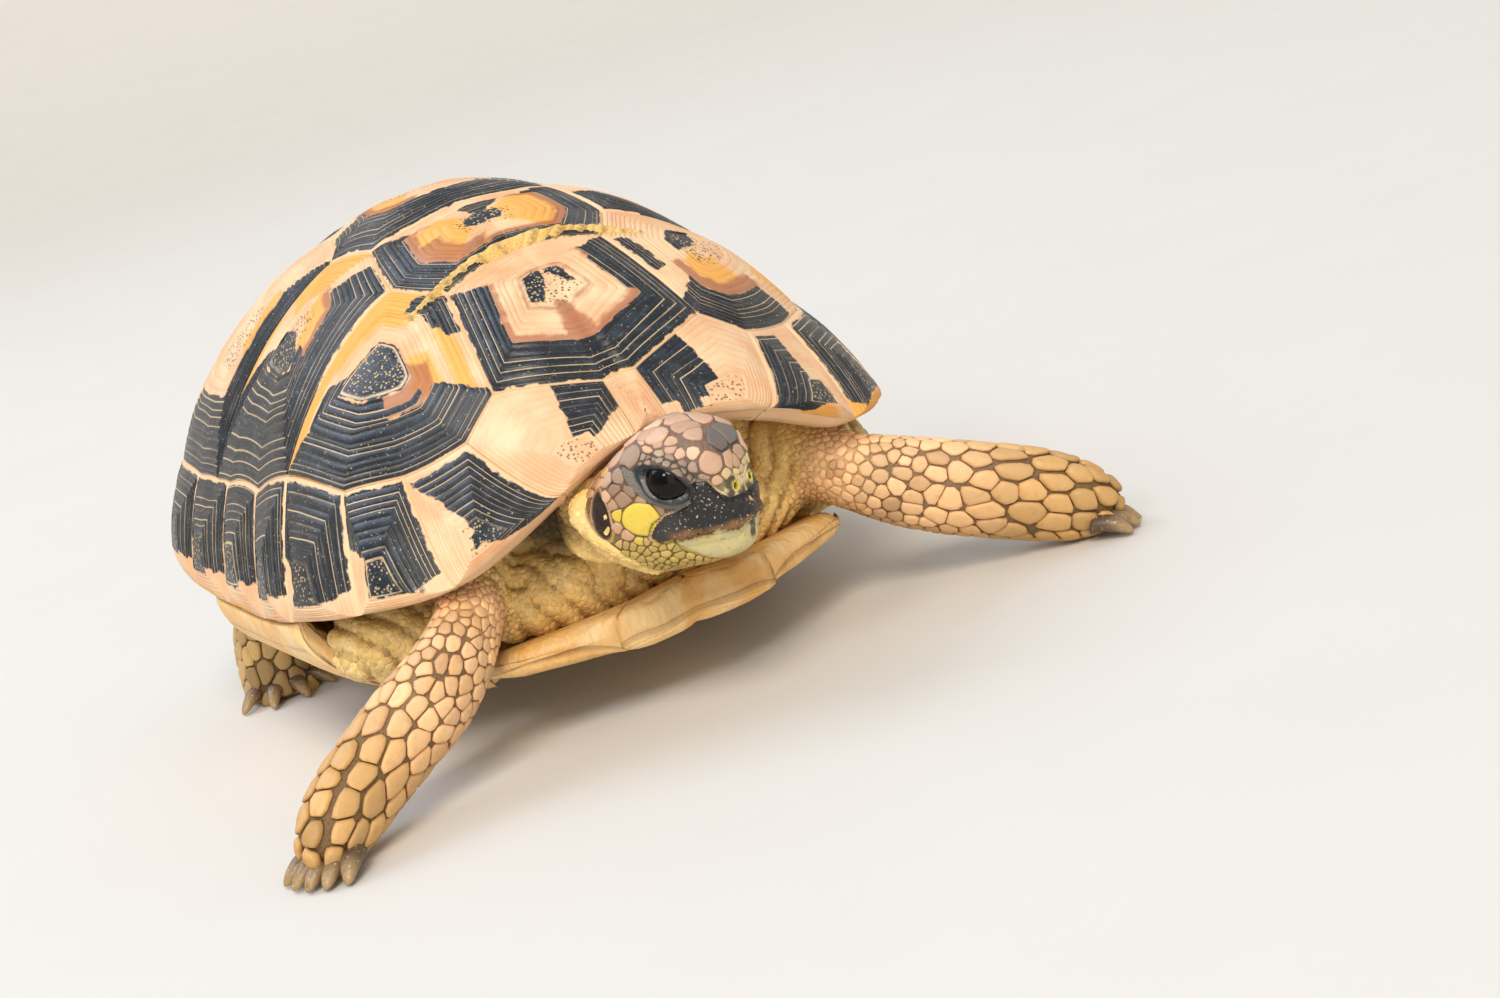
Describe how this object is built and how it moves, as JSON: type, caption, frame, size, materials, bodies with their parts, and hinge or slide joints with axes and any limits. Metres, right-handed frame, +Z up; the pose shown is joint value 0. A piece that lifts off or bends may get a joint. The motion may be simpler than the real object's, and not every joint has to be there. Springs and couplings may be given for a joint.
{
  "type": "tortoise model",
  "caption": "Still, life-size Hermann's tortoise standing on all fours, head turned to its left, with domed plated shell, beaked head and scaled stretched forelegs.",
  "frame": {"origin": "on the floor under the middle of the whole model's box", "axes": "+Z up; the animal faces -Y and its left side is +X"},
  "size_m": [0.1794, 0.189, 0.0988],
  "materials": {
    "scute_horn": "worn keratin scutes, tan and yellow with glossy black growth bands",
    "plastron_horn": "satin yellow-tan keratin with faint brown growth lines and dark patches",
    "scaled_skin": "dry leathery skin set with domed tan scales",
    "beak_horn": "smooth pale olive horn with a brown cutting edge",
    "eye": "wet glossy near-black eye"
  },
  "bodies": {
    "root": {"nuchal": "scute_horn", "vertebral_1": "scute_horn", "vertebral_2": "scute_horn", "vertebral_3": "scute_horn", "vertebral_4": "scute_horn", "vertebral_5": "scute_horn", "costal_left_1": "scute_horn", "costal_left_2": "scute_horn", "costal_left_3": "scute_horn", "costal_left_4": "scute_horn", "costal_right_1": "scute_horn", "costal_right_2": "scute_horn", "costal_right_3": "scute_horn", "costal_right_4": "scute_horn", "marginal_left_1": "scute_horn", "marginal_left_2": "scute_horn", "marginal_left_3": "scute_horn", "marginal_left_4": "scute_horn", "marginal_left_5": "scute_horn", "marginal_left_6": "scute_horn", "marginal_left_7": "scute_horn", "marginal_left_8": "scute_horn", "marginal_left_9": "scute_horn", "marginal_left_10": "scute_horn", "marginal_left_11": "scute_horn", "supracaudal_left": "scute_horn", "marginal_right_1": "scute_horn", "marginal_right_2": "scute_horn", "marginal_right_3": "scute_horn", "marginal_right_4": "scute_horn", "marginal_right_5": "scute_horn", "marginal_right_6": "scute_horn", "marginal_right_7": "scute_horn", "marginal_right_8": "scute_horn", "marginal_right_9": "scute_horn", "marginal_right_10": "scute_horn", "marginal_right_11": "scute_horn", "supracaudal_right": "scute_horn", "plastron_gular": "plastron_horn", "plastron_humeral": "plastron_horn", "plastron_pectoral": "plastron_horn", "plastron_abdominal": "plastron_horn", "plastron_femoral": "plastron_horn", "plastron_anal": "plastron_horn", "trunk": "scaled_skin", "neck": "scaled_skin", "head": "scaled_skin", "foreleg_left": "scaled_skin", "foreleg_right": "scaled_skin", "forefoot_left": "scaled_skin", "forefoot_right": "scaled_skin", "hindleg_left": "scaled_skin", "hindleg_right": "scaled_skin", "hindfoot_left": "scaled_skin", "hindfoot_right": "scaled_skin", "tail": "scaled_skin", "lower_jaw": "beak_horn", "eye_left": "eye", "eye_right": "eye"}
  },
  "joints": []
}
